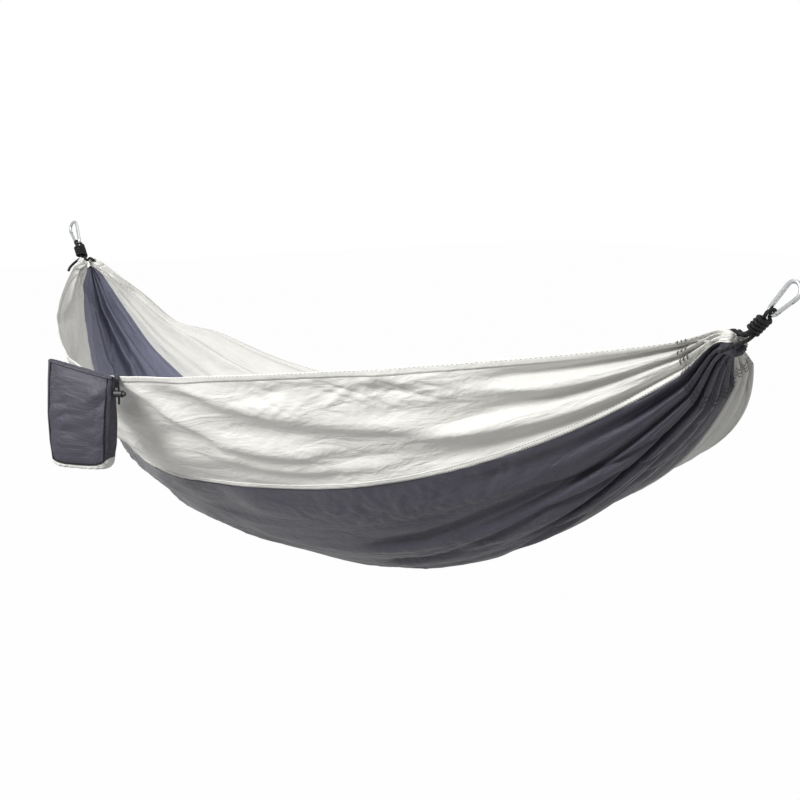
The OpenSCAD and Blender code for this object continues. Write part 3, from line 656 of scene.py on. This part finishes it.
def base_place(a, b):
    """The base's rounded side for the first BASE_SIDE of b, then its flat bottom."""
    w0, d0 = LEVELS[-1][1:]
    if b < BASE_SIDE:
        h = b / BASE_SIDE
        x, y = box_outline(a, w0 - TAPER_W * h ** 3, d0 - TAPER_D * h ** 3, 4.5 - h)
        seam_z = -SACK_H - OVERHANG + corner_rise(x, w0) * (1 - h)
        drop = (BASE_H - OVERHANG) * math.sin(math.pi / 2 * h)
        pucker = 0.8 * math.sin(9 * x / 20) * (1 - h) * h * 4
        return in_sack(x, y, seam_z - drop + pucker)
    h = (b - BASE_SIDE) / (1 - BASE_SIDE)
    x, y = box_outline(a, (w0 - TAPER_W) * (1 - h), (d0 - TAPER_D) * (1 - h), 3.5)
    return in_sack(x, y, -SACK_H - BASE_H - 0.6 * math.sin(math.pi * h))


base = grid_piece("sack_base_cloth", 144, 40, base_place, (0.36, 0.06))
close_round(base)
thicken(base, 0.8)

# %% Tab that holds the sack
TAB_X, TAB_W, TAB_H = 54.3, 18, 26
tab_hem = bed_point(2 * (TAB_X + TAB_W / 2) / BED_SPAN, -1, -3)


def tab_place(a, b):
    """A short folded webbing, sewn to the near hem and a little hollow across."""
    bow = 0.5 * math.sin(math.pi * a) * math.sin(math.pi * b)
    return Vector((BED_MID.x * MM + (TAB_X + TAB_W * a) * MM, tab_hem.y - (0.1 + bow) * MM,
                   tab_hem.z + (4 - TAB_H * b) * MM))


tab = grid_piece("sack_tab_webbing", 18, 26, tab_place, (0.018, 0.026))
thicken(tab, 1.5)

# %% Sack hem, piping and drawcord
CORD_R = 1.25
HEM_Z = CORD_R + 0.6 + 1 - 0.4
MOUTH_START, MOUTH_SWEEP = math.radians(12), math.radians(336)


def mouth_point(angle):
    """Point of the drawcord's line round the mouth, in the sack's frame."""
    c, s = math.cos(angle), math.sin(angle)
    x = (SACK_W / 2 - 2) * math.copysign(abs(c) ** 0.55, c)
    y = 8 * math.copysign(abs(s) ** 0.55, s)
    return x, y, -MOUTH_FALL * x / SACK_W + HEM_Z


def hem_place(a, b):
    """A puckered tube round the mouth, open at the right where the cord comes out."""
    angle = MOUTH_START + MOUTH_SWEEP * a
    x, y, z = mouth_point(angle)
    turn = 2 * math.pi * b
    r = 2.7 + 0.25 * math.sin(46 * angle) + 0.2 * math.sin(29 * angle + 1)
    ahead = Vector(mouth_point(angle + 0.01)) - Vector(mouth_point(angle - 0.01))
    side = Vector((ahead.y, -ahead.x, 0)).normalized()
    return in_sack(x + side.x * r * math.cos(turn), y + side.y * r * math.cos(turn), z + r * math.sin(turn))


sack_hem = grid_piece("sack_mouth_hem_cloth", 260, 12, hem_place, (0.3, 0.017))
close_round(sack_hem)
thicken(sack_hem, 0.5)

# The piping runs down one front corner, under the front and up the other, just outside the cloth.
RIGHT_CORNER, LEFT_CORNER = 0.875, 0.625
low_w, low_d = LEVELS[-1][1] + 2.4, LEVELS[-1][2] + 2.4
down = [sack_place(RIGHT_CORNER, b / 16, 1.0) for b in range(17)]
under = []
for i in range(1, 14):
    x, y = box_outline(RIGHT_CORNER - 0.25 * i / 14, low_w, low_d)
    under.append(in_sack(x, y, -SACK_H - OVERHANG + corner_rise(x, low_w)))
up = [sack_place(LEFT_CORNER, b / 16, 1.0) for b in range(16, -1, -1)]
piping = swept_tube("sack_piping_cord", down + under + up, 1.5, 10)

LOCK_X, LOCK_Z, CORD_Y = 82.5, -41.0, 1.45
loop = [in_sack(*mouth_point(MOUTH_START + MOUTH_SWEEP * i / 48)) for i in range(49)]
last = mouth_point(math.radians(348))
hanging = smooth_route([Vector(p) for p in (
    last, (SACK_W / 2 + 3, -CORD_Y - 1, last[2] - 1), (LOCK_X - 1.5, -CORD_Y, LOCK_Z + 17),
    (LOCK_X, -CORD_Y, LOCK_Z + 11), (LOCK_X, -CORD_Y, LOCK_Z), (LOCK_X, -CORD_Y, LOCK_Z - 20))], 6)
drawcord = swept_tube("drawcord_loop", loop, CORD_R, 10)
cord_routes = {"front": [in_sack(*p) for p in hanging], "back": [in_sack(p.x, -p.y, p.z) for p in hanging]}
cord_ends = {name: swept_tube("drawcord_" + name + "_end", route, CORD_R, 10)
             for name, route in cord_routes.items()}

# %% [markdown]
# Colours are written as sRGB hex values and turned to linear light by one function. One more
# function adds a node with its settings and links.

# %% Material helpers


def colour(code):
    """Linear colour with alpha 1 from a hex code."""
    parts = [int(code[i:i + 2], 16) / 255 for i in (1, 3, 5)]
    return [p / 12.92 if p <= 0.04045 else ((p + 0.055) / 1.055) ** 2.4 for p in parts] + [1.0]


def node(tree, kind, links=None, **settings):
    """Adds a node; links gives each input a value or another node's output."""
    made = tree.nodes.new(kind)
    for key, value in settings.items():
        setattr(made, key, value)
    for key, value in (links or {}).items():
        if isinstance(value, bpy.types.NodeSocket):
            tree.links.new(value, made.inputs[key])
        else:
            made.inputs[key].default_value = value
    return made


def material(name):
    """A new material with an empty tree but for its shader and output."""
    made = bpy.data.materials.new(name)
    made.use_nodes = True
    tree = made.node_tree
    tree.nodes.clear()
    shader = node(tree, "ShaderNodeBsdfPrincipled")
    node(tree, "ShaderNodeOutputMaterial", {"Surface": shader.outputs[0]})
    return made, tree, shader


def dress(piece, finish):
    """Gives the piece this finish alone."""
    piece.data.materials.clear()
    piece.data.materials.append(finish)


# %% [markdown]
# Thin calendered nylon: a plain weave, with the soft crushed creases that stay from being stuffed in a sack.
# The creases are two layers of stretched noise, and the colour is painted darker in the hollows of the softer
# layer, as shade. The weave is a checker of 2 mm, coarser than the real one so that it shows.

# %% Cloth finishes


def nylon(name, light, shade, roughness, sheen, grain=(9, 26)):
    """Cloth between two tones, the darker one painted into the hollows of the soft creases as shade; grain is
    the number of soft creases to a metre, along and across.
    """
    made, tree, shader = material(name)
    uv = node(tree, "ShaderNodeTexCoord").outputs["UV"]
    stretched = node(tree, "ShaderNodeMapping", {"Vector": uv, "Scale": (*grain, 1)}).outputs[0]
    soft = node(tree, "ShaderNodeTexNoise", {"Vector": stretched, "Scale": 1.0, "Detail": 4.0,
                                             "Roughness": 0.55, "Distortion": 0.6}, noise_dimensions="2D")
    fine = node(tree, "ShaderNodeMapping", {"Vector": uv, "Scale": (60, 90, 1)}).outputs[0]
    crush = node(tree, "ShaderNodeTexNoise", {"Vector": fine, "Scale": 1.0, "Detail": 3.0,
                                              "Roughness": 0.6}, noise_dimensions="2D")
    weave_scale = node(tree, "ShaderNodeMapping", {"Vector": uv, "Scale": (500, 500, 1)}).outputs[0]
    weave = node(tree, "ShaderNodeTexChecker", {"Vector": weave_scale, "Scale": 1.0})
    # The soft crease noise sets both the tone and the bump, so the shade tone is painted shade in the crease
    # hollows.
    tint = node(tree, "ShaderNodeMix", {0: soft.outputs[0], 6: colour(shade), 7: colour(light)},
                data_type="RGBA")
    tree.links.new(tint.outputs[2], shader.inputs["Base Color"])
    first = node(tree, "ShaderNodeBump", {"Height": soft.outputs[0], "Strength": 0.6, "Distance": 0.008})
    second = node(tree, "ShaderNodeBump", {"Height": crush.outputs[0], "Strength": 0.5, "Distance": 0.0025,
                                           "Normal": first.outputs[0]})
    third = node(tree, "ShaderNodeBump", {"Height": weave.outputs[1], "Strength": 0.06, "Distance": 0.0004,
                                          "Normal": second.outputs[0]})
    tree.links.new(third.outputs[0], shader.inputs["Normal"])
    rough = node(tree, "ShaderNodeMapRange", {"Value": crush.outputs[0], "To Min": roughness - 0.06,
                                              "To Max": roughness + 0.08})
    tree.links.new(rough.outputs[0], shader.inputs["Roughness"])
    shader.inputs["Sheen Weight"].default_value = sheen
    shader.inputs["Sheen Roughness"].default_value = 0.5
    shader.inputs["Specular IOR Level"].default_value = 0.35
    return made


light_nylon = nylon("light_grey_nylon", "#dfded9", "#cfcec9", 0.55, 0.1)
dark_nylon = nylon("charcoal_nylon", "#3c3a46", "#302f39", 0.5, 0.12)
# The inside of the dark cloth is a lighter, bluer copy of it: in part a coated side, in part painted light for
# the light that it catches from above.
dark_inside_coated_and_lit = nylon("charcoal_nylon_inside_coated_and_lit", "#78798d", "#6a6b7e", 0.5, 0.1)
sack_nylon = nylon("sack_charcoal_nylon", "#3d3b46", "#32303a", 0.55, 0.08, (24, 17))

# %% Sleeve colours follow the panels
for piece in sleeves.values():
    dress(piece, light_nylon)
    piece.data.materials.append(dark_nylon)
    # The centre part's inner faces take the lighter inside copy, which is in part painted light.
    piece.data.materials.append(dark_inside_coated_and_lit)
    for face in piece.data.polygons:
        spots = [piece.data.uv_layers.active.data[i].uv for i in face.loop_indices]
        v = 2 * sum(spot[0] for spot in spots) / len(spots) / SLEEVE_CUT[0] - 1
        inner = sum(spot[1] for spot in spots) / len(spots) < SLEEVE_CUT[1] / 3
        face.material_index = 0 if not NEAR_SEAM < v < FAR_SEAM else 2 if inner else 1

# %% [markdown]
# The ropes are braided black cord: two families of strands that cross, four each way round the rope and three
# round the thin cord. The crossing is drawn as two slanted waves on the tube's UV map, and the higher one
# shows. The colour is painted darker in the hollows between the strands and a little lighter on their crowns:
# painted shade and highlight.

# %% Rope, cord, plastic and thread finishes


def math_node(tree, operation, first, second=None):
    """Output of a math node."""
    links = {0: first} if second is None else {0: first, 1: second}
    return node(tree, "ShaderNodeMath", links, operation=operation).outputs[0]


def braid(name, tone, strands, pitch):
    """Braid with strands each way round and pitch millimetres from crossing to crossing."""
    made, tree, shader = material(name)
    uv = node(tree, "ShaderNodeTexCoord").outputs["UV"]
    parts = node(tree, "ShaderNodeSeparateXYZ", {"Vector": uv})
    round_it = math_node(tree, "MULTIPLY", parts.outputs[0], strands * 2 * math.pi)
    along = math_node(tree, "MULTIPLY", parts.outputs[1], 2 * math.pi / (pitch * MM))
    rising = math_node(tree, "ADD", round_it, along)
    falling = math_node(tree, "SUBTRACT", round_it, along)
    one = math_node(tree, "SINE", rising)
    two = math_node(tree, "SINE", falling)
    higher = math_node(tree, "MAXIMUM", one, two)
    bump = node(tree, "ShaderNodeBump", {"Height": higher, "Strength": 0.8, "Distance": 0.0007})
    tree.links.new(bump.outputs[0], shader.inputs["Normal"])
    # Painted shade and highlight: the colour is scaled from half in the hollows between strands to a little
    # over full on their crowns.
    shade = node(tree, "ShaderNodeMapRange", {"Value": higher, "From Min": -1.0, "To Min": 0.5,
                                              "To Max": 1.15})
    mixed = node(tree, "ShaderNodeVectorMath", {0: colour(tone)[:3], "Scale": shade.outputs[0]},
                 operation="SCALE")
    tree.links.new(mixed.outputs[0], shader.inputs["Base Color"])
    shader.inputs["Roughness"].default_value = 0.6
    shader.inputs["Specular IOR Level"].default_value = 0.3
    return made


rope_braid = braid("black_braided_rope", "#0c0c0d", 4, 9)
cord_braid = braid("black_braided_cord", "#0c0c0d", 3, 4)


def moulded(name, tone, roughness):
    """Plastic or thread with a fine grain."""
    made, tree, shader = material(name)
    spot = node(tree, "ShaderNodeTexCoord").outputs["Object"]
    grain = node(tree, "ShaderNodeTexNoise", {"Vector": spot, "Scale": 1400.0, "Detail": 2.0})
    bump = node(tree, "ShaderNodeBump", {"Height": grain.outputs[0], "Strength": 0.15, "Distance": 0.0002})
    tree.links.new(bump.outputs[0], shader.inputs["Normal"])
    rough = node(tree, "ShaderNodeMapRange", {"Value": grain.outputs[0], "To Min": roughness - 0.08,
                                              "To Max": roughness + 0.08})
    tree.links.new(rough.outputs[0], shader.inputs["Roughness"])
    shader.inputs["Base Color"].default_value = colour(tone)
    return made


black_plastic = moulded("black_moulded_nylon", "#1c1c1e", 0.45)
black_thread = moulded("black_thread", "#1f1e22", 0.6)
grey_thread = moulded("grey_thread", "#a9a8a2", 0.6)

# %% [markdown]
# The hooks are bright zinc-plated steel: a soft mirror, clouded by handling.

# %% Steel finish


def plated(name, tone, roughness):
    """Bright metal with a cloudy roughness."""
    made, tree, shader = material(name)
    spot = node(tree, "ShaderNodeTexCoord").outputs["Object"]
    cloud = node(tree, "ShaderNodeTexNoise", {"Vector": spot, "Scale": 220.0, "Detail": 4.0, "Roughness": 0.6})
    rough = node(tree, "ShaderNodeMapRange", {"Value": cloud.outputs[0], "From Min": 0.3, "From Max": 0.7,
                                              "To Min": roughness - 0.05, "To Max": roughness + 0.09})
    tree.links.new(rough.outputs[0], shader.inputs["Roughness"])
    bump = node(tree, "ShaderNodeBump", {"Height": cloud.outputs[0], "Strength": 0.08, "Distance": 0.0003})
    tree.links.new(bump.outputs[0], shader.inputs["Normal"])
    shader.inputs["Base Color"].default_value = colour(tone)
    shader.inputs["Metallic"].default_value = 1.0
    return made


zinc = plated("bright_zinc_plate", "#b4b6b7", 0.26)
spring_wire = plated("drawn_spring_wire", "#b9bbbd", 0.3)

# %% Dress every piece
for panel, finish in (("near", light_nylon), ("centre", dark_nylon), ("far", light_nylon)):
    dress(cloth[panel], finish)
# The inner faces of the centre panel take the lighter inside copy, which is in part painted light.
cloth["centre"].data.materials.append(dark_inside_coated_and_lit)
for face in cloth["centre"].data.polygons[:inside_count]:
    face.material_index = 1
dressing = ((light_nylon, [*strips.values(), base]), (sack_nylon, [sack, tab, sack_hem]),
            (cord_braid, [piping, drawcord, *cord_ends.values()]), (rope_braid, ropes.values()),
            (grey_thread, [light_thread]), (black_thread, [black_stitching_and_edge_shadow, bar_thread]))
for finish, pieces in dressing:
    for piece in pieces:
        dress(piece, finish)
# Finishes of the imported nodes, by their material slot.
finishes = {"hook_steel": zinc, "spring_steel": spring_wire, "black_plastic": black_plastic,
            "sack_cloth": sack_nylon}
slots = {part["node"]: part["material_slot"] for part in frame["record"]["subparts"]}
for name, obj in frame["nodes"].items():
    if slots[name] in finishes:
        dress(obj, finishes[slots[name]])

# %% [markdown]
# Each piece rides on the body that carries it, and the imported node that it stands for, where there is one,
# is hidden.

# %% Ride and replace
for panel, stands_for in (("near", "near_side_panel"), ("centre", "centre_panel"),
                          ("far", "far_side_panel")):
    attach(cloth[panel], "bed")
    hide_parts(stands_for)
for name in ("left", "right"):
    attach(sleeves[name], "bed")
    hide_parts(name + "_end_sleeve")
    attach(ropes[name], "bed")
    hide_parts(name + "_rope")
for piece in list(strips.values()) + [light_thread, black_stitching_and_edge_shadow, bar_thread]:
    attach(piece, "bed")
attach(tab, "bed")
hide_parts("sack_tab")
for piece, stands_for in ((sack, "sack_body"), (base, "sack_base"), (sack_hem, "sack_mouth_hem"),
                          (piping, "sack_piping"), (drawcord, "sack_drawcord")):
    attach(piece, "sack")
    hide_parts(stands_for)

for name, piece in cord_ends.items():
    route = cord_routes[name]
    length = sum((b - a).length for a, b in zip(route, route[1:]))
    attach(piece, "sack")
    tuple(route[0])
    [tuple(p) for p in route]

# %% [markdown]
# A grey floor well below the bed, which keeps its bounced light low. The floor and the surround look
# white to the camera and in reflections. Soft light comes from above and from the camera's side.

# %% Stage and light
FLOOR_Z = -1.25
FLOOR_WHITE = 0.985
AMBIENT = 0.48


def seen_directly(tree):
    """1 for what the camera sees, straight or in a reflection, and 0 for other light."""
    path = node(tree, "ShaderNodeLightPath").outputs
    seen = math_node(tree, "MAXIMUM", path["Is Camera Ray"], path["Is Glossy Ray"])
    return math_node(tree, "MAXIMUM", seen, path["Is Transmission Ray"])


bpy.ops.object.select_all(action="DESELECT")
bpy.ops.mesh.primitive_plane_add(size=30, location=(1.2, 0, FLOOR_Z))
floor = bpy.context.object
floor.name = "floor"
made, tree, shader = material("pale_floor")
shader.inputs["Base Color"].default_value = colour("#a8a8a8")
shader.inputs["Roughness"].default_value = 0.9
shader.inputs["Specular IOR Level"].default_value = 0.0
share = math_node(tree, "MULTIPLY", seen_directly(tree), FLOOR_WHITE)
glow = node(tree, "ShaderNodeEmission", {"Color": (1, 1, 1, 1), "Strength": 1.0})
blend = node(tree, "ShaderNodeMixShader", {0: share, 1: shader.outputs[0], 2: glow.outputs[0]})
tree.links.new(blend.outputs[0], tree.nodes["Material Output"].inputs["Surface"])
dress(floor, made)

world = bpy.data.worlds.new("surround")
bpy.context.scene.world = world
world.use_nodes = True
tree = world.node_tree
tree.nodes.clear()
seen = seen_directly(tree)
ambient = node(tree, "ShaderNodeBackground", {"Color": (1, 1, 1, 1), "Strength": AMBIENT})
white = node(tree, "ShaderNodeBackground", {"Color": (1, 1, 1, 1), "Strength": 1.0})
mix = node(tree, "ShaderNodeMixShader", {0: seen, 1: ambient.outputs[0], 2: white.outputs[0]})
node(tree, "ShaderNodeOutputWorld", {"Surface": mix.outputs[0]})


def softbox(name, place, aim, size, power):
    """A square lamp in metres and watts, turned to its aim."""
    bpy.ops.object.light_add(type="AREA", location=place)
    lamp = bpy.context.object
    lamp.name = name
    lamp.data.size = size
    lamp.data.energy = power
    lamp.rotation_euler = (Vector(aim) - Vector(place)).to_track_quat("-Z", "Y").to_euler()


softbox("key_light", (1.7, -3.5, 1.9), (1.2, -0.3, -0.4), 1.3, 185)
softbox("top_light", (0.9, 0.5, 3.0), (1.2, 0, -0.4), 2.4, 25)

# %% [markdown]
# Last, the Standard view transform keeps colours as written.

# %% Finish
bpy.context.scene.view_settings.view_transform = "Standard"
